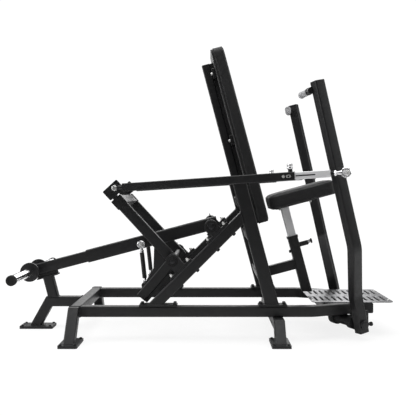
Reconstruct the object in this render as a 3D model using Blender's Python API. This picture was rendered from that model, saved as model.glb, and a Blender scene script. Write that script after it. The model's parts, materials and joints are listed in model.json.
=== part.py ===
"""Plate-loaded seated lever press machine, built as an assembly of separate pieces.

Metres, +Z up. The floor is Z = 0 and the origin is under the middle of the machine.
The user sits facing +X, so the right side is at -Y and the left side at +Y.
"""
from math import cos, pi, radians, sin, tan

import bmesh
import bpy
from mathutils import Matrix, Vector

# Driving dimensions
GAP = 0.0003                 # between neighbouring solids
TUBE = 0.060                 # square frame tube
HALF = TUBE / 2
CORNER = 0.008               # outer corner radius of a frame tube
RAIL_Z = 0.160               # centre height of the base frame
RAIL_TOP = RAIL_Z + HALF
RAIL_Y = 0.345               # side frames, from the centre plane
REAR_X = -0.709              # rear cross tube and legs
FRONT_X = 0.426              # front cross tube and legs
FOOT_THICK = 0.016
FLANGE = 0.010               # bolted flanges under struts and uprights
LEAN = radians(14.9)         # uprights, back, seat post
TOE = radians(24.0)          # how far each lever's pivot turns from the cross direction
UP = Vector((-sin(LEAN), 0, cos(LEAN)))
FORWARD = Vector((cos(LEAN), 0, sin(LEAN)))
ACROSS = Vector((0, 1, 0))
VERTICAL = Vector((0, 0, 1))

# Frame points in the side view
UPRIGHT_FOOT = Vector((0.392, 0, RAIL_TOP + FLANGE))
UPRIGHT_DEPTH = 0.075
UPRIGHT_TOP_Z = 0.895
STRUT_FOOT = Vector((-0.257, 0, RAIL_TOP + FLANGE))
STRUT_DIR = Vector((1, 0, 1)).normalized()
STRUT_NORMAL = Vector((-1, 0, 1)).normalized()
RAIL_BEND_X = 0.620
FRONT_BEAM_X = 0.956
SEAT_SUPPORT_X = 0.730
SPINE_TOP_Z = 1.600
SPINE_DEPTH = 0.050
LEG_BOTTOM_Y = 0.503
FOOT_Y = 0.475               # middle of each leg's foot plate
LOW_CROSS_Z = RAIL_Z - TUBE - GAP   # the front cross tube runs under the rails

# Linkage pivots in the side view
ROCKER_PIVOT = Vector((-0.1635, 0, 0.440))
TIE_REAR = Vector((-0.490, 0, 0.850))
PUSH_LOWER = Vector((-0.331, 0, 0.294))
PUSH_UPPER = Vector((-0.356, 0, 0.5215))
ARM_PIVOT = Vector((0.052, 0, 0.632))
ARM_END = Vector((-1.030, 0, 0.348))
ARM_DIR = (ARM_END - ARM_PIVOT).normalized()
ARM_NORMAL = Vector((-ARM_DIR.z, 0, ARM_DIR.x))
TAIL_HALF = 0.033            # half the height of the weight arm's thinner tail
ROCKER_Y = 0.287
ROCKER_THICK = 0.040
PUSH_Y = 0.200
TIE_REAR_Y = 0.340
ROCKER_DIR = Vector((-0.6787, 0, 0.7345)).normalized()   # along the long arm
ROCKER_SIDE = Vector((0.7345, 0, 0.6787)).normalized()
SHORT_ARM_END = Vector((-0.346, 0, 0.227))
SHAFT = 0.015                # radius of the 30 mm pivot shafts
SHAFT_END_Y = 0.374

# Lever, for the left side: the right one is its mirror image
LEVER_PIVOT = Vector((0.891, 0.345, 0.088))
LEVER_LOW_BEND = Vector((0.859, 0.355, 0.250))
LEVER_HIGH_BEND = Vector((0.820, 0.520, 0.530))
LEVER_TOP = Vector((0.6195, 0.520, 1.422))
LEVER_BOTTOM_Z = 0.040
TIE_FRONT_Z = 0.931
TIE_OFFSET = 0.075           # rod-end ball, along the pivot axis from the lever's middle
GRIP_ROOT = Vector((0.583, 0.490, 1.372))
GRIP_TURN = radians(8.0)     # the grips point inwards and this much to the rear
GRIP_LENGTH = 0.157
GRIP_RADIUS = 0.0185
GRIP_END_RADIUS = 0.0200
GRIP_COLLAR = 0.020          # length of the collar

# Seat
SEAT_POST_TOP = Vector((0.501, 0, 0.7355))
GUIDE_TOP_Z = 0.559
GUIDE_BOTTOM_Z = 0.222
SEAT_LENGTH = 0.417
SEAT_REAR = -0.098           # rear edge of the seat, measured from the post
SEAT_WIDTH = 0.340
SEAT_THICK = 0.085
POST_SIZE = 0.050
POST_LENGTH = 0.395
SEAT_PIN_Z = 0.498
PIN_BARREL = 0.058           # length of the barrel that guides the seat pin

# Back pad
PAD_BOTTOM_Z = 0.618
PAD_LENGTH = 1.088
PAD_WIDTH = 0.330
PAD_THICK = 0.068
BOARD_THICK = 0.010
BRACKET_THICK = 0.020

# Weight horns
HORN_DISC_Y = 0.100
HORN_END_Y = 0.490
SLEEVE_RADIUS = 0.025

SIDES = (("right", -1), ("left", 1))


def clear_scene():
    for item in list(bpy.data.objects):
        bpy.data.objects.remove(item)


def make_material(name, colour, roughness, metallic=0.0):
    item = bpy.data.materials.new(name)
    item.use_nodes = True
    shader = item.node_tree.nodes["Principled BSDF"]
    shader.inputs["Base Color"].default_value = (*colour, 1)
    shader.inputs["Roughness"].default_value = roughness
    shader.inputs["Metallic"].default_value = metallic
    return item


def make_materials():
    return {
        "frame": make_material("frame_paint", (0.018, 0.018, 0.019), 0.42),
        "pad": make_material("pad_vinyl", (0.020, 0.020, 0.021), 0.60),
        "rubber": make_material("black_rubber", (0.012, 0.012, 0.012), 0.75),
        "chrome": make_material("chrome", (0.78, 0.78, 0.79), 0.16, 1.0),
        "plate": make_material("treadplate", (0.62, 0.62, 0.63), 0.34, 1.0),
        "grip": make_material("grip_rubber", (0.42, 0.42, 0.43), 0.55),
        "iron": make_material("cast_iron", (0.022, 0.022, 0.024), 0.50, 0.3),
    }


def side_point(point, side):
    """A point given for the left side, moved to the wanted side."""
    return Vector((point.x, point.y * side, point.z))


def at_y(point, y):
    return Vector((point.x, y, point.z))


def finish_object(name, bm, material, smooth_angle=None):
    bmesh.ops.recalc_face_normals(bm, faces=bm.faces)
    mesh = bpy.data.meshes.new(name)
    bm.to_mesh(mesh)
    bm.free()
    item = bpy.data.objects.new(name, mesh)
    bpy.context.scene.collection.objects.link(item)
    mesh.materials.append(material)
    if smooth_angle:
        mesh.shade_smooth()
        mesh.set_sharp_from_angle(angle=smooth_angle)
    return item


def skin_rings(bm, rings):
    """Joins equal rings of points into one closed tube with flat ends."""
    loops = [[bm.verts.new(point) for point in ring] for ring in rings]
    count = len(loops[0])
    for first, second in zip(loops, loops[1:]):
        for index in range(count):
            after = (index + 1) % count
            bm.faces.new((first[index], first[after], second[after], second[index]))
    bm.faces.new(loops[0])
    bm.faces.new(loops[-1])


def rounded_section(width, depth, corner, steps=3):
    """Points round a rectangle with rounded corners."""
    points = []
    centres = ((1, 1, 0), (-1, 1, 90), (-1, -1, 180), (1, -1, 270))
    for sx, sy, start in centres:
        cx = sx * (width / 2 - corner)
        cy = sy * (depth / 2 - corner)
        for step in range(steps + 1):
            angle = radians(start + 90 * step / steps)
            points.append((cx + corner * cos(angle), cy + corner * sin(angle)))
    return points


def onto_plane(point, direction, plane):
    """Slides a point along a direction onto a plane given as (point, normal)."""
    on_plane, normal = plane
    travel = (on_plane - point).dot(normal) / direction.dot(normal)
    return point + direction * travel


def rounded_path(points, radius, steps=4):
    """A path whose inner corners are arcs."""
    path = [points[0]]
    for before, corner, after in zip(points, points[1:], points[2:]):
        back = (before - corner).normalized()
        ahead = (after - corner).normalized()
        half_angle = back.angle(ahead) / 2
        reach = radius / tan(half_angle)
        centre = corner + (back + ahead).normalized() * (radius / sin(half_angle))
        start = corner + back * reach - centre
        turn = pi - 2 * half_angle
        axis = start.cross(corner + ahead * reach - centre).normalized()
        for step in range(steps + 1):
            path.append(centre + Matrix.Rotation(turn * step / steps, 3, axis) @ start)
    path.append(points[-1])
    return path


def bar(name, path, width, depth, material, across=ACROSS, corner=CORNER,
        start_cut=None, end_cut=None):
    """A tube of rounded rectangular section along a path. width is measured along across."""
    directions = [(b - a).normalized() for a, b in zip(path, path[1:])]
    first = directions[0]
    side = (across - first * across.dot(first)).normalized()
    other = first.cross(side)
    section = rounded_section(width, depth, corner)
    start = start_cut or (path[0], first)
    end = end_cut or (path[-1], directions[-1])
    ring = [onto_plane(path[0] + side * a + other * b, first, start) for a, b in section]
    rings = [ring]
    for index, direction in enumerate(directions):
        if index + 1 < len(directions):
            plane = (path[index + 1], (direction + directions[index + 1]).normalized())
        else:
            plane = end
        ring = [onto_plane(point, direction, plane) for point in ring]
        rings.append(ring)
    bm = bmesh.new()
    skin_rings(bm, rings)
    return finish_object(name, bm, material, radians(31))


def turned(name, start, direction, profile, material, segments=24):
    """A round piece. profile lists (distance from start, radius) along the direction."""
    direction = direction.normalized()
    turn = direction.to_track_quat("Z", "Y")
    rings = []
    for distance, radius in profile:
        ring = []
        for step in range(segments):
            angle = 2 * pi * step / segments
            local = Vector((radius * cos(angle), radius * sin(angle), 0))
            ring.append(start + direction * distance + turn @ local)
        rings.append(ring)
    bm = bmesh.new()
    skin_rings(bm, rings)
    return finish_object(name, bm, material, radians(31))


def rod(name, start, end, radius, material, segments=24):
    length = (end - start).length
    return turned(name, start, end - start, [(0, radius), (length, radius)], material, segments)


def slab(name, centre, size, material, axis_x=Vector((1, 0, 0)), axis_y=ACROSS, corner=0.004):
    """A plate with rounded corners: size is (along axis_x, along axis_y, thickness)."""
    normal = axis_x.cross(axis_y).normalized()
    start = centre - normal * size[2] / 2
    rings = []
    for level in (0, size[2]):
        rings.append([start + axis_x * a + axis_y * b + normal * level
                      for a, b in rounded_section(size[0], size[1], corner)])
    bm = bmesh.new()
    skin_rings(bm, rings)
    return finish_object(name, bm, material, radians(31))


def extrusion(name, outline, base_y, thickness, material):
    """A plate cut to an outline of points in the side view, standing at base_y."""
    rings = [[at_y(point, base_y + offset) for point in outline] for offset in (0, thickness)]
    bm = bmesh.new()
    skin_rings(bm, rings)
    return finish_object(name, bm, material)


def combine(target, others, operation="UNION"):
    """Applies an exact Boolean of each other object to the target, then removes them."""
    for other in others:
        change = target.modifiers.new("join", "BOOLEAN")
        change.operation = operation
        change.solver = "EXACT"
        change.object = other
        graph = bpy.context.evaluated_depsgraph_get()
        mesh = bpy.data.meshes.new_from_object(target.evaluated_get(graph))
        target.modifiers.clear()
        target.data = mesh
        bpy.data.objects.remove(other)
    target.data.shade_smooth()
    target.data.set_sharp_from_angle(angle=radians(31))
    return target


def bore(target, start, end, radius, segments=24):
    cutter = rod("bore_cutter", start, end, radius, target.data.materials[0], segments)
    return combine(target, [cutter], "DIFFERENCE")


def upright_line(z):
    """The centre line shared by the uprights, their cross tubes and the back spine."""
    return UPRIGHT_FOOT + UP * ((z - UPRIGHT_FOOT.z) / UP.z)


def arm_point(distance, offset=0.0):
    """A point on the weight arm: distance from its pivot, offset square to it."""
    return ARM_PIVOT + ARM_DIR * distance + ARM_NORMAL * offset


def pivot_axis(side):
    """The toed pivot axis of a lever, pointing outwards and forwards."""
    return Vector((sin(TOE), side * cos(TOE), 0))


def lever_point(z):
    """A point on the middle line of the left lever's long upper part."""
    span = LEVER_TOP - LEVER_HIGH_BEND
    return LEVER_HIGH_BEND + span * ((z - LEVER_HIGH_BEND.z) / span.z)


def tie_front(side):
    """The rod-end ball of a tie rod, clear of the lever's outer face."""
    return side_point(lever_point(TIE_FRONT_Z), side) + pivot_axis(side) * TIE_OFFSET


def make_base(mats):
    frame = mats["frame"]
    front_face = (Vector((FRONT_BEAM_X - HALF - GAP, 0, 0)), Vector((1, 0, 0)))
    bend_run = FRONT_BEAM_X - HALF - RAIL_BEND_X
    for label, side in SIDES:
        path = [Vector((REAR_X + HALF + GAP, side * RAIL_Y, RAIL_Z)),
                Vector((RAIL_BEND_X, side * RAIL_Y, RAIL_Z)),
                Vector((RAIL_BEND_X + bend_run, side * (RAIL_Y - bend_run * tan(TOE)), RAIL_Z))]
        bar(f"base_rail_{label}", rounded_path(path, 0.12), TUBE, TUBE, frame,
            end_cut=front_face)
    reach = RAIL_Y + HALF
    bar("rear_cross_tube", [Vector((REAR_X, -reach, RAIL_Z)), Vector((REAR_X, reach, RAIL_Z))],
        TUBE, TUBE, frame, across=VERTICAL)
    bar("front_cross_tube", [Vector((FRONT_X, -0.300, LOW_CROSS_Z)),
                             Vector((FRONT_X, 0.300, LOW_CROSS_Z))],
        TUBE, TUBE, frame, across=VERTICAL)
    narrowing = (SEAT_SUPPORT_X + HALF - RAIL_BEND_X + 0.03) * tan(TOE)
    reach = RAIL_Y - HALF - GAP - narrowing
    bar("seat_support_tube", [Vector((SEAT_SUPPORT_X, -reach, RAIL_Z)),
                              Vector((SEAT_SUPPORT_X, reach, RAIL_Z))],
        TUBE, TUBE, frame, across=VERTICAL)
    bar("front_cross_beam", [Vector((FRONT_BEAM_X, -0.250, RAIL_Z)),
                             Vector((FRONT_BEAM_X, 0.250, RAIL_Z))],
        TUBE, TUBE, frame, across=VERTICAL)


def make_legs(mats):
    level = (Vector((0, 0, FOOT_THICK - 0.001)), VERTICAL)
    for label, side in SIDES:
        outer = RAIL_Y + HALF + GAP
        rear = [Vector((REAR_X, side * outer, RAIL_Z)),
                Vector((REAR_X, side * (outer + 0.020), RAIL_Z)),
                Vector((REAR_X, side * LEG_BOTTOM_Y, FOOT_THICK))]
        front = [Vector((FRONT_X, side * (0.300 + GAP), LOW_CROSS_Z)),
                 Vector((FRONT_X, side * 0.433, LOW_CROSS_Z)),
                 Vector((FRONT_X, side * LEG_BOTTOM_Y, FOOT_THICK))]
        for end, path in (("rear", rear), ("front", front)):
            leg = bar(f"{end}_leg_{label}", path, TUBE, TUBE, mats["frame"],
                      across=Vector((1, 0, 0)), end_cut=level)
            foot = slab("foot", Vector((path[0].x, side * FOOT_Y, FOOT_THICK / 2)),
                        (0.104, 0.200, FOOT_THICK), mats["frame"], corner=0.008)
            combine(leg, [foot])


def make_rear_stand(mats):
    level = (Vector((0, 0, FOOT_THICK - 0.001)), VERTICAL)
    path = [Vector((REAR_X - HALF - GAP, 0, RAIL_Z)), Vector((-0.935, 0, RAIL_Z)),
            Vector((-1.015, 0, FOOT_THICK))]
    stand = bar("rear_stand", path, TUBE, TUBE, mats["frame"], end_cut=level)
    foot = slab("foot", Vector((-1.006, 0, FOOT_THICK / 2)), (0.200, 0.120, FOOT_THICK),
                mats["frame"], corner=0.008)
    combine(stand, [foot])
    pad_thick = 0.020
    plate_thick = 0.008
    stop_distance = (ARM_END - ARM_PIVOT).length - 0.075
    pad_centre = arm_point(stop_distance, TAIL_HALF + GAP + pad_thick / 2)
    slab("arm_stop_pad", pad_centre, (0.120, 0.056, pad_thick), mats["rubber"], axis_x=ARM_DIR)
    plate_level = TAIL_HALF + 2 * GAP + pad_thick
    plate_centre = arm_point(stop_distance, plate_level + plate_thick / 2)
    post_top = arm_point(stop_distance, plate_level + plate_thick / 2)
    post_foot = onto_plane(post_top, ARM_NORMAL, (Vector((0, 0, RAIL_TOP + GAP)), VERTICAL))
    post = bar("arm_stop_post", [post_foot, post_top], TUBE, TUBE, mats["frame"],
               start_cut=(post_foot, VERTICAL))
    plate = slab("plate", plate_centre, (0.130, 0.070, plate_thick), mats["frame"],
                 axis_x=ARM_DIR)
    combine(post, [plate])


def make_side_frames(mats):
    frame = mats["frame"]
    flange_top = (Vector((0, 0, RAIL_TOP + FLANGE - 0.001)), VERTICAL)
    rear_face = upright_line(0.5) - FORWARD * (UPRIGHT_DEPTH / 2 + GAP)
    for label, side in SIDES:
        y = side * RAIL_Y
        strut = bar(f"strut_{label}",
                    [at_y(STRUT_FOOT, y), at_y(STRUT_FOOT + STRUT_DIR * 0.7, y)],
                    TUBE, TUBE, frame, start_cut=flange_top, end_cut=(rear_face, FORWARD))
        flange = slab("flange", Vector((-0.243, y, RAIL_TOP + GAP + FLANGE / 2)),
                      (0.212, 0.078, FLANGE), frame)
        combine(strut, [flange])
        upright = bar(f"upright_{label}", [at_y(UPRIGHT_FOOT, y),
                                           at_y(upright_line(UPRIGHT_TOP_Z), y)],
                      TUBE, UPRIGHT_DEPTH, frame, start_cut=flange_top)
        flange = slab("flange", Vector((0.396, y, RAIL_TOP + GAP + FLANGE / 2)),
                      (0.160, 0.078, FLANGE), frame)
        combine(upright, [flange])


def make_cross_tubes(mats):
    frame = mats["frame"]
    inner = RAIL_Y - HALF - GAP
    for name, z in (("middle_cross_tube", 0.570), ("lower_cross_tube", 0.335)):
        centre = upright_line(z)
        bar(name, [at_y(centre, -inner), at_y(centre, inner)], TUBE, TUBE, frame, across=UP)
    centre = upright_line(0.775)
    for label, side in SIDES:
        bar(f"upper_cross_tube_{label}",
            [at_y(centre, side * (HALF + GAP)), at_y(centre, side * inner)],
            TUBE, TUBE, frame, across=UP)


def make_back(mats):
    foot = upright_line(0.570) + UP * (HALF + GAP)
    spine = bar("back_spine", [foot, upright_line(SPINE_TOP_Z)], TUBE, SPINE_DEPTH,
                mats["frame"])
    brackets = []
    for z in (1.130, 1.530):
        face = upright_line(z) + FORWARD * (SPINE_DEPTH / 2 + BRACKET_THICK / 2 - 0.001)
        brackets.append(slab("bracket", face, (0.060, 0.200, BRACKET_THICK), mats["frame"],
                             axis_x=UP, axis_y=-ACROSS, corner=0.006))
    combine(spine, brackets)
    bottom = upright_line(PAD_BOTTOM_Z)
    middle = bottom + UP * (PAD_LENGTH / 2)
    board = SPINE_DEPTH / 2 + BRACKET_THICK + GAP
    slab("back_board", middle + FORWARD * (board + BOARD_THICK / 2),
         (PAD_LENGTH - 0.020, PAD_WIDTH - 0.020, BOARD_THICK), mats["pad"],
         axis_x=UP, axis_y=-ACROSS, corner=0.030)
    pad = board + BOARD_THICK + GAP
    slab("back_pad", middle + FORWARD * (pad + PAD_THICK / 2),
         (PAD_LENGTH, PAD_WIDTH, PAD_THICK), mats["pad"], axis_x=UP, axis_y=-ACROSS,
         corner=0.040)


def guide_axis(z):
    """The sloping centre line of the seat post and its guide tube."""
    return SEAT_POST_TOP - UP * ((SEAT_POST_TOP.z - z) / UP.z)


def make_seat_guide(mats):
    guide_top = guide_axis(GUIDE_TOP_Z)
    level_cut = (Vector((0, 0, GUIDE_BOTTOM_Z)), VERTICAL)
    guide = bar("seat_guide_tube", [guide_top, guide_axis(0.21)], TUBE, TUBE, mats["frame"],
                end_cut=level_cut)
    pin_root = guide_axis(SEAT_PIN_Z) + FORWARD * (HALF - 0.002)
    barrel = turned("barrel", pin_root, FORWARD,
                    [(0, 0.0145), (PIN_BARREL - 0.004, 0.0145), (PIN_BARREL, 0.0125)],
                    mats["frame"], 16)
    combine(guide, [barrel])
    clearance = 0.0007
    inside = POST_SIZE + 2 * clearance
    hollow = bar("hollow", [guide_top + UP * 0.01, guide_axis(0.10)], inside, inside,
                 mats["frame"], corner=0.004)
    combine(guide, [hollow], "DIFFERENCE")
    bore(guide, guide_axis(SEAT_PIN_Z) + FORWARD * 0.01, pin_root + FORWARD * 0.09, 0.0066, 16)
    start = upright_line(0.335) + FORWARD * (HALF + GAP) - UP * 0.004
    to_guide = guide_axis(0.39) - FORWARD * (HALF + GAP)
    bar("seat_brace", [start, start + FORWARD * 0.15], 0.050, TUBE, mats["frame"],
        end_cut=(to_guide, FORWARD))


def make_seat(mats):
    post = bar("seat_post", [SEAT_POST_TOP - UP * POST_LENGTH, SEAT_POST_TOP], POST_SIZE,
               POST_SIZE, mats["chrome"], corner=0.0045)
    plate_thick = 0.006
    plate_centre = SEAT_POST_TOP + FORWARD * 0.06 + UP * (plate_thick / 2 - 0.001)
    plate = slab("plate", plate_centre, (0.240, 0.160, plate_thick), mats["chrome"],
                 axis_x=FORWARD)
    combine(post, [plate])
    centre = SEAT_POST_TOP + FORWARD * (SEAT_REAR + SEAT_LENGTH / 2)
    centre = centre + UP * (plate_thick - 0.001 + GAP + SEAT_THICK / 2)
    slab("seat_pad", centre, (SEAT_LENGTH, SEAT_WIDTH, SEAT_THICK), mats["pad"],
         axis_x=FORWARD, corner=0.045)
    pin_tip = guide_axis(SEAT_PIN_Z) + FORWARD * (POST_SIZE / 2 + 0.0010)
    knob = PIN_BARREL + 0.0025
    turned("seat_pop_pin", pin_tip, FORWARD,
           [(0, 0.0050), (0.003, 0.0060), (knob, 0.0060), (knob + 0.0005, 0.0100),
            (knob + 0.015, 0.0100), (knob + 0.0155, 0.0160), (knob + 0.022, 0.0160),
            (knob + 0.025, 0.0130)], mats["chrome"], 16)


def pillow_block(name, centre, height, y, mats):
    """A bearing on a strut: a base along the strut and a round housing on the shaft."""
    base_thick = 0.014
    base_centre = at_y(centre - STRUT_NORMAL * (height - GAP - base_thick / 2), y)
    base = slab(name, base_centre, (0.164, 0.046, base_thick), mats["iron"],
                axis_x=STRUT_DIR, axis_y=ACROSS, corner=0.010)
    pedestal = slab("pedestal", at_y(centre - STRUT_NORMAL * (height / 2), y),
                    (0.070, 0.036, height - 0.004), mats["iron"], axis_x=STRUT_DIR,
                    axis_y=ACROSS)
    housing = rod("housing", at_y(centre, y - 0.020), at_y(centre, y + 0.020), 0.039,
                  mats["iron"])
    combine(base, [pedestal, housing])
    bore(base, at_y(centre, y - 0.03), at_y(centre, y + 0.03), SHAFT + 0.0006)


def make_bearings(mats):
    for name, pivot in (("rocker_bearing", ROCKER_PIVOT), ("arm_bearing", ARM_PIVOT)):
        height = (pivot - STRUT_FOOT).dot(STRUT_NORMAL) - HALF
        for label, side in SIDES:
            pillow_block(f"{name}_{label}", pivot, height, side * RAIL_Y, mats)


def make_front(mats):
    frame = mats["frame"]
    rear = SEAT_SUPPORT_X + HALF + GAP
    front = FRONT_BEAM_X - HALF - GAP
    slab("bearing_plate", Vector(((rear + front) / 2, 0, RAIL_Z - HALF + 0.006)),
         (front - rear, 0.260, 0.012), frame)
    slab("footplate", Vector((0.871, 0, RAIL_TOP + GAP + 0.002)),
         (0.470, 0.500, 0.004), mats["plate"], corner=0.030)
    for label, side in SIDES:
        axis = pivot_axis(side)
        inner = side_point(LEVER_PIVOT, side) - axis * 0.262
        housing = turned(f"lever_bearing_{label}", inner, axis,
                         [(0, 0.0405), (0.044, 0.0405), (0.046, 0.031), (0.172, 0.031),
                          (0.174, 0.0405), (0.218, 0.0405)], mats["iron"])
        bore(housing, inner - axis * 0.01, inner + axis * 0.25, SHAFT + 0.0006)


def make_lever(label, side, mats):
    axis = pivot_axis(side)
    low, pivot = side_point(LEVER_LOW_BEND, side), side_point(LEVER_PIVOT, side)
    high, top = side_point(LEVER_HIGH_BEND, side), side_point(LEVER_TOP, side)
    down = (pivot - low).normalized()
    bottom = pivot + down * ((pivot.z - LEVER_BOTTOM_Z) / -down.z)
    path = rounded_path([top, high, low, bottom], 0.09)
    lever = bar(f"lever_{label}", path, TUBE, TUBE, mats["frame"], across=axis)
    shaft = turned("shaft", pivot - axis * 0.258, axis,
                   [(0, SHAFT), (0.292, SHAFT), (0.292, 0.022), (0.302, 0.022),
                    (0.305, 0.018)], mats["frame"])
    boss_root = side_point(lever_point(TIE_FRONT_Z), side)
    boss = rod("boss", boss_root, boss_root + axis * 0.042, 0.012, mats["frame"], 16)
    grip_axis = Vector((-sin(GRIP_TURN), -side * cos(GRIP_TURN), 0))
    root = side_point(GRIP_ROOT, side)
    stub = rod("stub", root - grip_axis * 0.032, root - grip_axis * GAP, GRIP_RADIUS,
               mats["frame"])
    combine(lever, [shaft, boss, stub])
    end = GRIP_LENGTH
    turned(f"grip_{label}", root, grip_axis,
           [(0, 0.0200), (GRIP_COLLAR, 0.0200), (GRIP_COLLAR, GRIP_RADIUS),
            (end - 0.008, GRIP_RADIUS), (end - 0.007, GRIP_END_RADIUS),
            (end - 0.001, GRIP_END_RADIUS), (end, GRIP_RADIUS)], mats["grip"])


def rocker_point(along, aside, y):
    """A point of the long arm: along it from the pivot, and aside towards its upper edge."""
    return at_y(ROCKER_PIVOT + ROCKER_DIR * along + ROCKER_SIDE * aside, y)


def make_rocker_arm(label, side, mats):
    """Long and short arm in one plate frame, with a bolted head beyond a narrow slit."""
    frame = mats["frame"]
    y = side * ROCKER_Y
    collar_low, collar_high = 0.418, 0.481
    head_low, head_high = 0.488, 0.555
    short_dir = (SHORT_ARM_END - ROCKER_PIVOT).normalized()
    lower_side = Vector((-short_dir.z, 0, short_dir.x))
    arm = bar(f"rocker_arm_{label}", [rocker_point(-0.045, 0, y), rocker_point(collar_high, 0, y)],
              ROCKER_THICK, TUBE, frame)
    short = bar("short", [at_y(ROCKER_PIVOT - short_dir * 0.030, y), at_y(SHORT_ARM_END, y)],
                ROCKER_THICK - 0.002, TUBE, frame)
    collar = slab("collar", rocker_point((collar_low + collar_high) / 2, 0, y),
                  (collar_high - collar_low + 0.0004, 0.068, ROCKER_THICK + 0.004), frame,
                  axis_x=ROCKER_DIR, axis_y=-ROCKER_SIDE)
    head = slab("head", rocker_point((head_low + head_high) / 2, 0.023, side * 0.3115),
                (head_high - head_low, 0.106, 0.011), frame, axis_x=ROCKER_DIR,
                axis_y=-ROCKER_SIDE, corner=0.006)
    tongue = slab("tongue", rocker_point(0.500, 0.002, y + side * 0.0055),
                  (0.060, 0.032, ROCKER_THICK - 0.006), frame, axis_x=ROCKER_DIR,
                  axis_y=-ROCKER_SIDE)
    outline = [ROCKER_PIVOT, Vector((-0.258, 0, 0.527)), Vector((-0.2715, 0, 0.527)),
               Vector((-0.2755, 0, 0.395)), Vector((-0.347, 0, 0.272)),
               SHORT_ARM_END + lower_side * 0.010, SHORT_ARM_END + lower_side * 0.044,
               ROCKER_PIVOT + lower_side * 0.044]
    gusset = extrusion("gusset", outline, y - 0.012, 0.024, frame)
    eye = rod("pin_boss", at_y(PUSH_LOWER, side * (PUSH_Y + 0.0105)), at_y(PUSH_LOWER, y),
              0.014, frame, 16)
    combine(arm, [short, collar, gusset, head, tongue, eye])
    bore(arm, at_y(ROCKER_PIVOT, y - 0.05), at_y(ROCKER_PIVOT, y + 0.05), SHAFT + 0.0006)


def make_rocker(mats):
    for label, side in SIDES:
        make_rocker_arm(label, side, mats)
    inner = ROCKER_Y - ROCKER_THICK / 2 - 0.002 - GAP
    bar("rocker_cross_tube", [rocker_point(0.449, 0, -inner), rocker_point(0.449, 0, inner)],
        TUBE, TUBE, mats["frame"], across=ROCKER_DIR)
    rod("rocker_shaft", at_y(ROCKER_PIVOT, -SHAFT_END_Y), at_y(ROCKER_PIVOT, SHAFT_END_Y),
        SHAFT, mats["chrome"])


def make_push_rods(mats):
    along = (PUSH_UPPER - PUSH_LOWER).normalized()
    for label, side in SIDES:
        lower, upper = at_y(PUSH_LOWER, side * PUSH_Y), at_y(PUSH_UPPER, side * PUSH_Y)
        body = rod(f"push_rod_{label}", lower + along * 0.015, upper - along * 0.015, 0.0125,
                   mats["frame"], 16)
        eyes = []
        for centre, radius in ((lower, 0.021), (upper, 0.0225)):
            eyes.append(rod("eye", centre - ACROSS * 0.010, centre + ACROSS * 0.010, radius,
                            mats["chrome"]))
        combine(body, eyes)


def make_weight_arm(mats):
    frame = mats["frame"]
    length = (ARM_END - ARM_PIVOT).length
    arm = bar("weight_arm", [arm_point(-0.040), arm_point(0.780)], TUBE, 0.078, frame,
              corner=0.010)
    tail = bar("tail", [arm_point(0.700), arm_point(length + 0.030)], TUBE - 0.002,
               2 * TAIL_HALF, frame)
    hub = rod("hub", at_y(ARM_PIVOT, -0.070), at_y(ARM_PIVOT, 0.070), 0.030, frame)
    cross_pin = rod("cross_pin", at_y(PUSH_UPPER, -0.187), at_y(PUSH_UPPER, 0.187), 0.0125,
                    frame, 16)
    combine(arm, [tail, hub, cross_pin])
    bore(arm, at_y(ARM_PIVOT, -0.10), at_y(ARM_PIVOT, 0.10), SHAFT + 0.0006)
    rod("arm_shaft", at_y(ARM_PIVOT, -SHAFT_END_Y), at_y(ARM_PIVOT, SHAFT_END_Y), SHAFT,
        mats["chrome"])
    for label, side in SIDES:
        outward = ACROSS * side
        root = at_y(ARM_END, side * (HALF + GAP))
        reach = HORN_DISC_Y - HALF
        turned(f"weight_horn_{label}", root, outward,
               [(0, 0.024), (reach, 0.024), (reach, 0.057), (reach + 0.012, 0.057)], frame)
        sleeve_root = at_y(ARM_END, side * (HORN_DISC_Y + 0.012 + 2 * GAP))
        sleeve = HORN_END_Y - HORN_DISC_Y - 0.012
        turned(f"weight_sleeve_{label}", sleeve_root, outward,
               [(0, SLEEVE_RADIUS), (sleeve - 0.024, SLEEVE_RADIUS), (sleeve - 0.024, 0.029),
                (sleeve - 0.003, 0.029), (sleeve, 0.026)], mats["chrome"])


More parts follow.
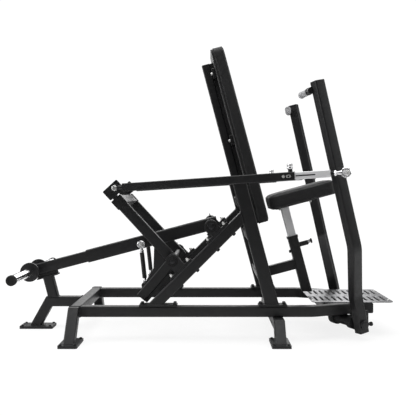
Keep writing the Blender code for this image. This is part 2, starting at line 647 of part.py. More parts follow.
def make_tie_rod(label, side, mats):
    rear = at_y(TIE_REAR, side * TIE_REAR_Y)
    front = tie_front(side)
    along = (front - rear).normalized()
    across = (ACROSS - along * ACROSS.dot(along)).normalized()
    lift = along.cross(across)
    if lift.z < 0:
        lift = -lift
    length = (front - rear).length
    tube_end = 1.006
    tube = bar(f"tie_rod_tube_{label}", [rear + along * 0.050, rear + along * tube_end],
               0.046, 0.046, mats["frame"], across=across, corner=0.006)
    hollow = bar("hollow", [rear + along * 0.64, rear + along * (tube_end + 0.02)], 0.0406,
                 0.0406, mats["frame"], across=across, corner=0.005)
    eye = rod("eye", rear - ACROSS * side * 0.012, rear + ACROSS * side * 0.012, 0.026,
              mats["frame"])
    neck = rod("neck", rear + along * 0.015, rear + along * 0.060, 0.014, mats["frame"], 16)
    barrel_root = rear + along * (tube_end - 0.019) + lift * 0.0215
    barrel = turned("barrel", barrel_root, lift, [(0, 0.012), (0.022, 0.012), (0.026, 0.009)],
                    mats["frame"], 16)
    combine(tube, [eye, neck, barrel])
    combine(tube, [hollow], "DIFFERENCE")
    bore(tube, barrel_root - lift * 0.006, barrel_root + lift * 0.04, 0.0056, 16)
    inner = bar(f"tie_rod_bar_{label}", [rear + along * 0.74, rear + along * (length - 0.080)],
                0.039, 0.039, mats["chrome"], across=across, corner=0.0045)
    stud = rod("stud", rear + along * (length - 0.085), rear + along * (length - 0.015), 0.010,
               mats["chrome"], 16)
    outward = pivot_axis(side)
    ring_axis = (outward - along * outward.dot(along)).normalized()
    ring = turned("ring", front - ring_axis * 0.010, ring_axis,
                  [(0, 0.020), (0.003, 0.025), (0.017, 0.025), (0.020, 0.020)], mats["chrome"])
    bolt = turned("bolt", front - outward * 0.028, outward,
                  [(0, 0.0085), (0.040, 0.0085), (0.040, 0.013), (0.049, 0.013),
                   (0.051, 0.010)], mats["chrome"], 16)
    combine(inner, [stud, ring, bolt])
    pin_tip = barrel_root - lift * 0.0010
    turned(f"tie_pop_pin_{label}", pin_tip, lift,
           [(0, 0.005), (0.0270, 0.005), (0.0275, 0.0110), (0.031, 0.0125), (0.044, 0.0125),
            (0.048, 0.009)], mats["chrome"], 16)


def main():
    clear_scene()
    mats = make_materials()
    make_base(mats)
    make_legs(mats)
    make_rear_stand(mats)
    make_side_frames(mats)
    make_cross_tubes(mats)
    make_back(mats)
    make_seat_guide(mats)
    make_seat(mats)
    make_bearings(mats)
    make_front(mats)
    make_rocker(mats)
    make_push_rods(mats)
    make_weight_arm(mats)
    for label, side in SIDES:
        make_lever(label, side, mats)
        make_tie_rod(label, side, mats)


main()
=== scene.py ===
# Looks of the plate-loaded seated lever press machine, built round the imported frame.
# Metres, +Z up. The user sits facing +X; the right side is at -Y.
import json
from math import cos, pi, radians, sin

import bmesh
import bpy
from mathutils import Matrix, Vector
from mathutils.bvhtree import BVHTree


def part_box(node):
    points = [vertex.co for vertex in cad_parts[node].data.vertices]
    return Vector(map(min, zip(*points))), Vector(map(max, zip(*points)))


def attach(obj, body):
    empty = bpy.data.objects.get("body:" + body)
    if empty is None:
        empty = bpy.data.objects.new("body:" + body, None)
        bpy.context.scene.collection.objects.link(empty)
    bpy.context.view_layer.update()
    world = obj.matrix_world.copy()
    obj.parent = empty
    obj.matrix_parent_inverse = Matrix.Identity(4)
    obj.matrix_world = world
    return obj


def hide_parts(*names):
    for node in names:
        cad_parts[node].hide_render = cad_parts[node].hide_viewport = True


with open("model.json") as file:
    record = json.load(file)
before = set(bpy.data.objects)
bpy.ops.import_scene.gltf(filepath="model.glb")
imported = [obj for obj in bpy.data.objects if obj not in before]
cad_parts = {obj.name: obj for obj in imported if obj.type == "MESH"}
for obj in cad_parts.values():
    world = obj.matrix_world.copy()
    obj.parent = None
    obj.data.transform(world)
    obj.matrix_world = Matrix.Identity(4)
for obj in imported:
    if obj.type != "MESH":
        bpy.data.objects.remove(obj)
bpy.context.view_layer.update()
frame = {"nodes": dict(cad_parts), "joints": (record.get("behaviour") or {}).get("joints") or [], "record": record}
JOINTS = {joint["name"]: joint for joint in frame["joints"]}
SLOTS = {part["node"]: part["material_slot"] for part in frame["record"]["subparts"]}
BODY_OF = {node: body for body, nodes in frame["record"]["behaviour"]["bodies"].items()
           for node in nodes}


def joint_axis(name):
    return Vector(JOINTS[name]["axis"]).normalized()


def joint_place(name):
    return Vector(JOINTS[name]["pos_m"])


SIDES = (("right", -1), ("left", 1))
X_AXIS = Vector((1, 0, 0))
ACROSS = Vector((0, 1, 0))
VERTICAL = Vector((0, 0, 1))
UP = joint_axis("seat_height")
FORWARD = joint_axis("seat_pin_pull")
ROCKER_PIVOT = joint_place("rocker_turn")
ARM_PIVOT = joint_place("weight_arm_lift")
STRUT_DIR = Vector((1, 0, 1)).normalized()
STRUT_NORMAL = Vector((-1, 0, 1)).normalized()
LEVER_UP = Vector((-0.2005, 0, 0.892)).normalized()   # the levers' long upper part
TUBE = 0.06
HALF = TUBE / 2


# Measuring the frame

def spread(node, axis):
    """Lowest and highest place of a node along an axis."""
    places = [vertex.co.dot(axis) for vertex in frame["nodes"][node].data.vertices]
    return min(places), max(places)


def oriented_box(node, axes):
    """Centre and size of a node in a box with the given axes."""
    centre = Vector((0, 0, 0))
    size = []
    for axis in axes:
        low, high = spread(node, axis)
        centre += axis * (low + high) / 2
        size.append(high - low)
    return centre, size


def tip(node, axis, depth=0.003):
    """Middle of the flat end that a node has furthest along an axis."""
    highest = spread(node, axis)[1]
    points = [vertex.co for vertex in frame["nodes"][node].data.vertices
              if vertex.co.dot(axis) > highest - depth]
    low = Vector([min(point[i] for point in points) for i in range(3)])
    high = Vector([max(point[i] for point in points) for i in range(3)])
    return (low + high) / 2


def box_centre(node):
    low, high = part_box(node)
    return (low + high) / 2


def across_span(node, side=1):
    """Inner end and length of a node that lies across the machine."""
    low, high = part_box(node)
    start = box_centre(node)
    start.y = low.y if side > 0 else high.y
    return start, high.y - low.y


def foot_span(node):
    """Lowest and highest x of a node's bottom end."""
    low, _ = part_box(node)
    near = [vertex.co.x for vertex in frame["nodes"][node].data.vertices
            if vertex.co.z < low.z + 0.004]
    return min(near), max(near)


def at_level(point, axis, level):
    """The point, moved along an axis to a level of that axis."""
    return point + axis * (level - point.dot(axis))


# Materials

def add_node(tree, kind, inputs, **settings):
    """A shader node whose inputs are set to values or linked to other nodes' outputs."""
    node = tree.nodes.new(f"ShaderNode{kind}")
    for name, value in settings.items():
        setattr(node, name, value)
    for name, value in inputs.items():
        if isinstance(value, bpy.types.NodeSocket):
            tree.links.new(value, node.inputs[name])
        else:
            node.inputs[name].default_value = value
    return node


class Surface:
    """A Principled material with helpers for its procedural nodes."""

    def __init__(self, name, colour, roughness, metallic=0.0, specular=0.5):
        self.material = bpy.data.materials.new(name)
        self.material.use_nodes = True
        self.tree = self.material.node_tree
        self.shader = self.tree.nodes["Principled BSDF"]
        self.set("Base Color", (*colour, 1))
        self.set("Roughness", roughness)
        self.set("Metallic", metallic)
        self.set("Specular IOR Level", specular)
        self.place = self.add("TexCoord", {}).outputs["Object"]

    def add(self, kind, inputs, **settings):
        return add_node(self.tree, kind, inputs, **settings)

    def set(self, name, value):
        self.shader.inputs[name].default_value = value

    def noise(self, scale, detail=3.0, stretch=(1, 1, 1)):
        mapping = self.add("Mapping", {"Scale": stretch, "Vector": self.place})
        place = mapping.outputs["Vector"]
        node = self.add("TexNoise", {"Scale": scale, "Detail": detail, "Vector": place})
        return node.outputs["Fac"]

    def cells(self, scale, feature="DISTANCE_TO_EDGE"):
        inputs = {"Scale": scale, "Vector": self.place}
        return self.add("TexVoronoi", inputs, feature=feature).outputs["Distance"]

    def spanned(self, value, low, high, out_low, out_high):
        node = self.add("MapRange", {"Value": value, "From Min": low, "From Max": high,
                                     "To Min": out_low, "To Max": out_high})
        return node.outputs["Result"]

    def facing_up(self):
        """1 where the surface faces straight up, 0 where it is upright or faces down."""
        normal = self.add("NewGeometry", {}).outputs["Normal"]
        height = self.add("SeparateXYZ", {"Vector": normal}).outputs["Z"]
        return self.spanned(height, 0.1, 0.75, 0.0, 1.0)

    def times(self, first, second):
        return self.add("Math", {0: first, 1: second}, operation="MULTIPLY").outputs["Value"]

    def mixed(self, factor, first, second):
        """Blends two colours, each a tuple or another node's output."""
        ends = [(*end, 1) if isinstance(end, tuple) else end for end in (first, second)]
        inputs = {"Factor": factor, "A": ends[0], "B": ends[1]}
        return self.add("Mix", inputs, data_type="RGBA").outputs["Result"]

    def colour(self, value):
        self.tree.links.new(value, self.shader.inputs["Base Color"])

    def gloss(self, scale, detail, low, high):
        """Lets the roughness drift between two values."""
        value = self.spanned(self.noise(scale, detail), 0.3, 0.7, low, high)
        self.tree.links.new(value, self.shader.inputs["Roughness"])

    def relief(self, height, distance, strength=1.0):
        """Adds a bump, on top of any earlier one."""
        target = self.shader.inputs["Normal"]
        inputs = {"Strength": strength, "Distance": distance, "Height": height}
        if target.is_linked:
            inputs["Normal"] = target.links[0].from_socket
        self.tree.links.new(self.add("Bump", inputs).outputs["Normal"], target)


def paint_surface():
    """Satin black powder coat: a fine orange peel, and upward faces painted lighter, partly faint dust and partly
    painted top light.
    """
    s = Surface("powder_coat", (0.008, 0.008, 0.009), 0.42, specular=0.42)
    tone = s.mixed(s.noise(7, 4), (0.0065, 0.0065, 0.0072), (0.0105, 0.0105, 0.0112))
    # Upward faces get a lighter colour: faint dust together with painted light from above, in one mask.
    dust_and_top_light = s.times(s.facing_up(), s.spanned(s.noise(26, 5), 0.35, 0.75, 0.25, 1.0))
    s.colour(s.mixed(dust_and_top_light, tone, (0.02, 0.02, 0.021)))
    s.gloss(60, 3, 0.36, 0.48)
    s.relief(s.noise(900, 2), 0.00018, 0.55)
    return s.material


def vinyl_surface():
    """Matte black upholstery vinyl with a pebbled grain."""
    s = Surface("pad_vinyl", (0.012, 0.012, 0.013), 0.58, specular=0.36)
    grain = s.spanned(s.cells(420), 0.0, 0.32, 0.0, 1.0)
    tone = s.mixed(s.noise(11, 5), (0.0095, 0.0095, 0.01), (0.0165, 0.0165, 0.0172))
    s.colour(s.mixed(grain, (0.006, 0.006, 0.0065), tone))
    s.gloss(48, 4, 0.5, 0.66)
    s.relief(grain, 0.00035, 0.55)
    s.relief(s.noise(70, 4), 0.0011, 0.35)
    s.set("Sheen Weight", 0.12)
    s.set("Sheen Roughness", 0.45)
    return s.material


def thread_surface():
    s = Surface("thread", (0.03, 0.03, 0.032), 0.7)
    s.colour(s.mixed(s.noise(2500, 2), (0.018, 0.018, 0.019), (0.045, 0.045, 0.047)))
    s.relief(s.noise(3000, 1), 0.0002, 0.6)
    return s.material


def satin_surface():
    """Zinc-plated bar and post stock, with faint drawing lines and smudges."""
    s = Surface("satin_plating", (0.78, 0.78, 0.79), 0.34, 0.25)
    s.colour(s.mixed(s.noise(9, 5), (0.8, 0.8, 0.81), (0.93, 0.93, 0.94)))
    s.gloss(24, 5, 0.3, 0.44)
    s.relief(s.noise(520, 2, (1, 1, 0.05)), 0.00006, 0.5)
    return s.material


def mottled(name, base, tones, gloss, grain, spark=False):
    """A surface with a drifting tone, a varying gloss and a fine relief.

    base is (colour, roughness, metallic, specular). tones, gloss and grain each start with
    the scale and detail of their noise; spark gives the relief of a moulded texture.
    """
    s = Surface(name, *base)
    scale, detail, dark, light = tones
    s.colour(s.mixed(s.noise(scale, detail), dark, light))
    s.gloss(*gloss)
    scale, detail, distance, strength = grain
    height = s.cells(scale, "F1") if spark else s.noise(scale, detail)
    s.relief(height, distance, strength)
    return s.material


def plate_surface():
    """Silver footplate, brushed from side to side, with shoe scuffs."""
    s = Surface("brushed_plate", (0.62, 0.62, 0.63), 0.3, 1.0)
    lines = s.noise(260, 2, (1, 0.04, 1))
    scuffs = s.spanned(s.noise(17, 6), 0.52, 0.74, 0.0, 1.0)
    tone = s.mixed(lines, (0.27, 0.27, 0.28), (0.4, 0.4, 0.41))
    s.colour(s.mixed(scuffs, tone, (0.22, 0.22, 0.23)))
    s.gloss(30, 5, 0.24, 0.42)
    s.relief(lines, 0.00008, 0.5)
    return s.material


def floor_surface():
    """Near white, with faint shadows by the machine and none farther away."""
    s = Surface("studio_floor", (0.9, 0.9, 0.9), 0.8, specular=0.05)
    s.colour(s.mixed(s.noise(2, 3), (0.89, 0.89, 0.89), (0.91, 0.91, 0.91)))
    length = s.add("VectorMath", {0: s.place}, operation="LENGTH").outputs["Value"]
    seen = s.add("LightPath", {}).outputs["Is Camera Ray"]
    reach = s.times(s.spanned(length, 1.0, 2.4, 0.78, 1.0), seen)
    glow = s.add("Emission", {"Strength": 1.06}).outputs["Emission"]
    blend = s.add("MixShader", {"Fac": reach, 1: s.shader.outputs["BSDF"], 2: glow})
    output = s.tree.nodes["Material Output"]
    s.tree.links.new(blend.outputs["Shader"], output.inputs["Surface"])
    return s.material


MATERIALS = {
    "paint": paint_surface(),
    "vinyl": vinyl_surface(),
    "thread": thread_surface(),
    "satin": satin_surface(),
    "plate": plate_surface(),
    "floor": floor_surface(),
    "cast": mottled("cast_iron_paint", ((0.01, 0.01, 0.011), 0.5, 0.0, 0.4),
                    (35, 4, (0.007, 0.007, 0.008), (0.016, 0.016, 0.017)),
                    (90, 3, 0.44, 0.62), (420, 3, 0.0005, 0.7)),
    "rubber": mottled("black_rubber", ((0.012, 0.012, 0.012), 0.8, 0.0, 0.3),
                      (40, 4, (0.008, 0.008, 0.008), (0.019, 0.019, 0.019)),
                      (30, 4, 0.66, 0.86), (700, 3, 0.0003, 0.6)),
    "plastic": mottled("black_plastic", ((0.009, 0.009, 0.01), 0.5, 0.0, 0.4),
                       (20, 3, (0.007, 0.007, 0.008), (0.013, 0.013, 0.014)),
                       (50, 3, 0.42, 0.58), (1300, 0, 0.00012, 0.6), spark=True),
    "grip": mottled("grip_rubber", ((0.4, 0.4, 0.41), 0.6, 0.0, 0.35),
                    (28, 5, (0.34, 0.34, 0.35), (0.47, 0.47, 0.48)),
                    (60, 3, 0.52, 0.7), (900, 0, 0.00025, 0.5), spark=True),
    "chrome": mottled("chrome", ((0.8, 0.8, 0.81), 0.16, 1.0, 0.5),
                      (14, 4, (0.76, 0.76, 0.77), (0.86, 0.86, 0.87)),
                      (38, 5, 0.11, 0.24), (160, 2, 0.00005, 0.4)),
    "zinc": mottled("zinc_bolt", ((0.74, 0.74, 0.72), 0.34, 1.0, 0.5),
                    (210, 4, (0.62, 0.62, 0.61), (0.84, 0.84, 0.82)),
                    (160, 3, 0.26, 0.44), (800, 2, 0.0001, 0.4)),
    "oxide": mottled("black_oxide_bolt", ((0.022, 0.022, 0.024), 0.4, 0.6, 0.5),
                     (180, 4, (0.012, 0.012, 0.013), (0.036, 0.036, 0.038)),
                     (140, 3, 0.32, 0.5), (800, 2, 0.0001, 0.4)),
}
MATERIAL_SLOT = {"paint": "frame_paint", "cast": "cast_iron", "vinyl": "pad_vinyl",
                 "thread": "pad_vinyl", "rubber": "black_rubber", "plastic": "black_rubber",
                 "grip": "grip_rubber", "chrome": "chrome", "satin": "chrome",
                 "zinc": "chrome", "oxide": "frame_paint", "plate": "treadplate"}
SLOT_MATERIAL = {slot: name for name, slot in reversed(MATERIAL_SLOT.items())}


# Mesh building

def place(piece, body, material, replaced=()):
    """Gives a new piece its material and body, and hides the nodes that it stands for."""
    piece.data.materials.clear()
    piece.data.materials.append(MATERIALS[material])
    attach(piece, body)
    if replaced:
        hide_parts(*replaced)
    return piece


def object_from(name, bm):
    bmesh.ops.recalc_face_normals(bm, faces=bm.faces)
    mesh = bpy.data.meshes.new(name)
    bm.to_mesh(mesh)
    bm.free()
    mesh.shade_smooth()
    piece = bpy.data.objects.new(name, mesh)
    bpy.context.scene.collection.objects.link(piece)
    return piece


def add_bevel(piece, width, segments, angle):
    bevel = piece.modifiers.new("edges", "BEVEL")
    bevel.width = width
    bevel.segments = segments
    bevel.limit_method = "ANGLE"
    bevel.angle_limit = radians(angle)


def soften(piece, width=0.001, angle=40):
    """Rounds the sharp edges and keeps the flat faces flat in shading."""
    add_bevel(piece, width, 2, angle)
    piece.modifiers.new("flat_faces", "WEIGHTED_NORMAL")
    return piece


def apply_modifiers(piece):
    graph = bpy.context.evaluated_depsgraph_get()
    mesh = bpy.data.meshes.new_from_object(piece.evaluated_get(graph))
    piece.modifiers.clear()
    piece.data = mesh


def circle(count, spin=0.0):
    """Pairs of cosine and sine, round a full turn."""
    angles = [spin + 2 * pi * step / count for step in range(count)]
    return [(cos(angle), sin(angle)) for angle in angles]


def add_rings(bm, rings, closed=False):
    """Skins a row of loops; closed joins the last to the first, and else both ends are filled."""
    loops = [[bm.verts.new(point) for point in ring] for ring in rings]
    count = len(loops[0])
    pairs = list(zip(loops, loops[1:]))
    if closed:
        pairs.append((loops[-1], loops[0]))
    for first, second in pairs:
        for index in range(count):
            after = (index + 1) % count
            bm.faces.new((first[index], first[after], second[after], second[index]))
    if not closed:
        bm.faces.new(reversed(loops[0]))
        bm.faces.new(loops[-1])


def add_turned(bm, start, direction, profile, segments=48, spin=0.0):
    """A round piece; profile lists (distance from start, radius) along the direction."""
    direction = direction.normalized()
    turn = direction.to_track_quat("Z", "Y")
    spokes = [turn @ Vector((a, b, 0)) for a, b in circle(segments, spin)]
    add_rings(bm, [[start + direction * distance + spoke * radius for spoke in spokes]
                   for distance, radius in profile])


def add_ring(bm, centre, axis, outer, inner, width, segments=48, edge=0.0012):
    """A flat ring with a hole through it and chamfered rims."""
    axis = axis.normalized()
    turn = axis.to_track_quat("Z", "Y")
    half = width / 2
    section = ((inner + edge, -half), (outer - edge, -half), (outer, edge - half),
               (outer, half - edge), (outer - edge, half), (inner + edge, half),
               (inner, half - edge), (inner, edge - half))
    spokes = [turn @ Vector((a, b, 0)) for a, b in circle(segments)]
    add_rings(bm, [[centre + spoke * radius + axis * along for radius, along in section]
                   for spoke in spokes], closed=True)


def add_sweep(bm, loop, sides):
    """A round bead along a closed loop of (point, surface normal, radius)."""
    rings = []
    count = len(loop)
    for index, (point, normal, radius) in enumerate(loop):
        ahead = (loop[(index + 1) % count][0] - loop[index - 1][0]).normalized()
        side = ahead.cross(normal).normalized()
        lift = side.cross(ahead).normalized()
        rings.append([point + side * radius * a + lift * radius * b for a, b in circle(sides)])
    add_rings(bm, rings, closed=True)


def turned(name, start, direction, profile, segments=48):
    bm = bmesh.new()
    add_turned(bm, start, direction, profile, segments)
    return object_from(name, bm)


def rounded_outline(width, depth, corner, steps=6):
    points = []
    for sx, sy, start in ((1, 1, 0), (-1, 1, 90), (-1, -1, 180), (1, -1, 270)):
        for step in range(steps + 1):
            angle = radians(start + 90 * step / steps)
            points.append((sx * (width / 2 - corner) + corner * cos(angle),
                           sy * (depth / 2 - corner) + corner * sin(angle)))
    return points


def add_plate(bm, centre, u, v, size, corner, dome=0.0):
    """A plate with rounded corners: size is (along u, along v, thickness)."""
    normal = u.cross(v).normalized()
    levels = [(-size[2] / 2, 0.0), (size[2] / 2, 0.0)]
    if dome:
        levels = [(-size[2] / 2, 0.0), (size[2] / 2 - dome, 0.0), (size[2] / 2, dome * 1.6)]
    rings = []
    for level, inset in levels:
        outline = rounded_outline(size[0] - 2 * inset, size[1] - 2 * inset,
                                  max(corner - inset, 0.001))
        rings.append([centre + u * a + v * b + normal * level for a, b in outline])
    add_rings(bm, rings)


def plate_object(name, centre, u, v, size, corner):
    bm = bmesh.new()
    add_plate(bm, centre, u, v, size, corner)
    return object_from(name, bm)


def cut(piece, cutter):
    """Takes the cutter's shape out of the piece, and removes the cutter."""
    change = piece.modifiers.new("cut", "BOOLEAN")
    change.operation = "DIFFERENCE"
    change.solver = "EXACT"
    change.object = cutter
    apply_modifiers(piece)
    bpy.data.objects.remove(cutter)


class Kit:
    """Small pieces of one kind on one body, gathered into one object."""

    made = {}

    @classmethod
    def mesh(cls, kind, body, material):
        key = (kind, body, material)
        if key not in cls.made:
            cls.made[key] = bmesh.new()
        return cls.made[key]

    @classmethod
    def finish(cls):
        for (kind, body, material), bm in cls.made.items():
            piece = object_from(f"{kind}_{body}_{material}", bm)
            soften(piece, 0.0005, 30)
            place(piece, body, material)


def hex_bolt(point, direction, flats, height, body, material="zinc", washer=True):
    """A hexagon head on a washer, standing on a surface."""
    bm = Kit.mesh("bolts", body, material)
    thick = 0.0
    if washer:
        thick = 0.0024
        add_turned(bm, point, direction, [(-0.001, flats * 0.62), (thick, flats * 0.62)], 28)
    radius = flats / 2 / cos(pi / 6)
    profile = [(thick - 0.0005, radius), (thick + height * 0.82, radius),
               (thick + height, radius * 0.86)]
    add_turned(bm, point, direction, profile, 6, spin=0.3)
    inner = flats * 0.3
    add_turned(bm, point, direction,
               [(thick + height * 0.6, inner), (thick + height * 1.12, inner)], 20)


def add_round(kind, body, material, start, direction, profile, segments=48):
    """A small turned piece, gathered with its kind."""
    add_turned(Kit.mesh(kind, body, material), start, direction, profile, segments)


def threaded_end(point, direction, radius, length, body, material="zinc"):
    """A nut with the bolt's thread showing past it."""
    hex_bolt(point, direction, radius * 3.1, radius * 1.5, body, material)
    bm = Kit.mesh("bolts", body, material)
    pitch = radius * 0.3
    profile = []
    place_along = 0.0
    while place_along < length:
        profile += [(place_along, radius), (place_along + pitch / 2, radius * 0.9)]
        place_along += pitch
    profile.append((length + pitch / 2, radius * 0.8))
    add_turned(bm, point, direction, profile, 20)


def weld(body, centre, u, v, size, corner=0.008):
    """A rippled bead round a tube of the given section, where it meets a face."""
    bm = Kit.mesh("welds", body, "paint")
    bead, pitch, step_length = 0.003, 0.0056, 0.0016
    corners = rounded_outline(size[0] + 0.001, size[1] + 0.001, corner)
    points = [centre + u * a + v * b for a, b in corners]
    path = []
    for start, end in zip(points, points[1:] + points[:1]):
        steps = max(1, round((end - start).length / step_length))
        path += [start.lerp(end, index / steps) for index in range(steps)]
    normal = u.cross(v).normalized()
    loop = []
    walked = 0.0
    for point, after in zip(path, path[1:] + path[:1]):
        loop.append((point, normal, bead * (1 + 0.13 * sin(2 * pi * walked / pitch))))
        walked += (after - point).length
    add_sweep(bm, loop, 6)


def tube_cap(name, node, axis, body, u, size):
    """A moulded plug in the open end of a tube."""
    end = tip(node, axis)
    v = axis.cross(u).normalized()
    bm = bmesh.new()
    add_plate(bm, end + axis * 0.0006, u, v, (size[0] - 0.001, size[1] - 0.001, 0.0032),
              0.0075, dome=0.0012)
    return place(soften(object_from(name, bm), 0.0006), body, "plastic")


# Carried-over shapes, rebuilt with welded, softened meshes

def refine(node, material=None):
    """A finer copy of a CAD node: its points joined, its edges rounded."""
    bm = bmesh.new()
    bm.from_mesh(frame["nodes"][node].data)
    bmesh.ops.remove_doubles(bm, verts=bm.verts, dist=0.00003)
    bmesh.ops.dissolve_limit(bm, angle_limit=radians(0.6), verts=bm.verts, edges=bm.edges)
    piece = object_from(f"{node}_fine", bm)
    soften(piece, 0.001)
    return place(piece, BODY_OF[node], material or SLOT_MATERIAL[SLOTS[node]], [node])


REMADE = {"back_pad", "seat_pad", "footplate", "seat_post", "rocker_shaft", "arm_shaft",
          "seat_pop_pin"}
for label, side in SIDES:
    REMADE |= {f"weight_horn_{label}", f"weight_sleeve_{label}", f"push_rod_{label}",
               f"grip_{label}", f"tie_pop_pin_{label}", f"tie_rod_bar_{label}"}
for node_name in sorted(set(frame["nodes"]) - REMADE):
    refine(node_name)


# Pads

def pad_shell(name, centre, axes, size, corner, rounding):
    """A block with rounded corners and edges, as even quads."""
    piece = plate_object(name, centre, axes[0], axes[1], size, corner)
    add_bevel(piece, rounding, 4, 50)
    remesh = piece.modifiers.new("even", "REMESH")
    remesh.mode = "VOXEL"
    remesh.voxel_size = 0.006
    apply_modifiers(piece)
    return piece


def swell(piece, cap, back_normal, back_level):
    """Fills the cover with a short cloth simulation. The back stays flat on its board."""
    rest = [vertex.co.copy() for vertex in piece.data.vertices]
    cloth = piece.modifiers.new("fill", "CLOTH")
    cloth.settings.use_pressure = True
    cloth.settings.uniform_pressure_force = 4
    cloth.settings.effector_weights.gravity = 0
    cloth.settings.quality = 4
    cloth.point_cache.frame_start = 1
    cloth.point_cache.frame_end = 20
    scene = bpy.context.scene
    for number in range(1, 21):
        scene.frame_set(number)
    graph = bpy.context.evaluated_depsgraph_get()
    swollen = [vertex.co.copy() for vertex in piece.evaluated_get(graph).data.vertices]
    piece.modifiers.clear()
    scene.frame_set(1)
    for vertex, start, end in zip(piece.data.vertices, rest, swollen):
        move = end - start
        if move.length > cap:
            move = move.normalized() * cap
        height = start.dot(back_normal) - back_level
        vertex.co = start + move * min(1.0, height / 0.012)


def crown(piece, centre, axes, size, height):
    """Raises the middle of the front face a little, as firm foam does."""
    for vertex in piece.data.vertices:
        local = vertex.co - centre
        a = abs(local.dot(axes[0])) / (size[0] / 2)
        b = abs(local.dot(axes[1])) / (size[1] / 2)
        lift = max(0.0, 1 - a ** 4) * max(0.0, 1 - b ** 2)
        depth = local.dot(axes[2]) / (size[2] / 2)
        if depth > 0:
            vertex.co += axes[2] * height * lift * depth


def surface_loop(tree, centre, axes, size, corner, level, out=0.0):
    """Points round a pad at one depth, dropped onto its surface."""
    points = []
    outline = rounded_outline(size[0], size[1], corner, 10)
    for (a, b), (c, d) in zip(outline, outline[1:] + outline[:1]):
        steps = max(1, round(((c - a) ** 2 + (d - b) ** 2) ** 0.5 / 0.012))
        for index in range(steps):
            t = index / steps
            guess = centre + axes[0] * (a + (c - a) * t) + axes[1] * (b + (d - b) * t)
            guess += axes[2] * level
            spot, normal, _, _ = tree.find_nearest(guess)
            points.append((spot + normal * out, normal))
    return points


def add_stitches(bm, loop, length=0.0042, pitch=0.0065, radius=0.00065):
    """Short capsules laid along a closed loop on the surface."""
    walked = 0.0
    next_place = 0.0
    count = len(loop)
    for index, (point, normal) in enumerate(loop):
        after = loop[(index + 1) % count][0]
        span = (after - point).length
        if span < 1e-6:
            continue
        ahead = (after - point) / span
        while next_place < walked + span:
            start = point + ahead * (next_place - walked) + normal * radius * 0.3
            add_turned(bm, start, ahead,
                       [(0, radius * 0.4), (radius, radius), (length - radius, radius),
                        (length, radius * 0.4)], 6)
            next_place += pitch
        walked += span


def make_pad(name, node, body, axes, corner, rounding, cap, bulge):
    """A pad with its cover, piping round both edges and a stitched seam."""
    centre, size = oriented_box(node, axes)
    inset = 0.004
    shell_size = (size[0] - 2 * inset, size[1] - 2 * inset, size[2] - inset)
    shell_centre = centre - axes[2] * inset / 2
    piece = pad_shell(name, shell_centre, axes, shell_size, corner - inset, rounding)
    swell(piece, cap, axes[2], shell_centre.dot(axes[2]) - shell_size[2] / 2)
    crown(piece, centre, axes, size, bulge)
    fine = piece.modifiers.new("fine", "SUBSURF")
    fine.levels = 1
    fine.render_levels = 1
    place(piece, body, "vinyl", [node])
    graph = bpy.context.evaluated_depsgraph_get()
    tree = BVHTree.FromObject(piece, graph)
    seam = bmesh.new()
    half = size[2] / 2
    for level, radius in ((half - 0.006, 0.0022), (-half + 0.007, 0.0026)):
        loop = surface_loop(tree, centre, axes, size, corner, level, 0.0004)
        add_sweep(seam, [(point, normal, radius) for point, normal in loop], 8)
    place(object_from(f"{name}_piping", seam), body, "vinyl")
    stitches = bmesh.new()
    inner = (size[0] - 0.03, size[1] - 0.03)
    loop = surface_loop(tree, centre, axes, inner, corner - 0.015, half + 0.01)
    add_stitches(stitches, loop)
    place(object_from(f"{name}_stitches", stitches), body, "thread")


def make_pads():
    make_pad("back_cushion", "back_pad", "root", (UP, -ACROSS, FORWARD), 0.04, 0.01,
             0.004, 0.004)
    make_pad("seat_cushion", "seat_pad", "seat", (FORWARD, ACROSS, UP), 0.045, 0.016,
             0.006, 0.006)


# Round and turned pieces

def make_weight_horns():
    """Horns with their discs, and plated sleeves with end caps that hold the weight plates."""
    thick, cap_length = 0.012, 0.024
    for label, side in SIDES:
        outward = ACROSS * side
        node = f"weight_horn_{label}"
        root, reach = across_span(node, side)
        low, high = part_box(node)
        disc = (high.x - low.x) / 2
        horn = turned(f"{node}_fine", root, outward,
                      [(0, 0.029), (0.004, 0.0245), (reach - thick, 0.024),
                       (reach - thick, disc), (reach, disc)], 72)
        place(soften(horn, 0.0016), "weight_arm", "paint", [node])
        node = f"weight_sleeve_{label}"
        start, length = across_span(node, side)
        shoulder = length - cap_length
        sleeve = turned(f"{node}_fine", start, outward, [(0, 0.025), (shoulder, 0.025)], 72)
        place(soften(sleeve, 0.0012), "weight_arm", "chrome", [node])
        cap = turned(f"sleeve_cap_{label}", start + outward * shoulder, outward,
                     [(0, 0.0262), (0.0015, 0.029), (cap_length - 0.004, 0.029),
                      (cap_length - 0.0005, 0.0262), (cap_length - 0.0005, 0.0205),
                      (cap_length - 0.0025, 0.0195), (cap_length - 0.0025, 0.004)], 72)
        place(soften(cap, 0.0008), "weight_arm", "rubber")


def make_shafts():
    """Shafts with a ring groove near each end."""
    groove = 0.006
    for node, body in (("rocker_shaft", "rocker"), ("arm_shaft", "weight_arm")):
        start, length = across_span(node)
        low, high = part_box(node)
        radius = (high.x - low.x) / 2
        profile = [(0, radius - 0.0015), (0.0015, radius), (groove, radius),
                   (groove, radius - 0.001), (groove + 0.0016, radius - 0.001),
                   (groove + 0.0016, radius)]
        profile += [(length - along, wide) for along, wide in reversed(profile)]
        place(turned(f"{node}_fine", start, ACROSS, profile, 56), body, "oxide", [node])


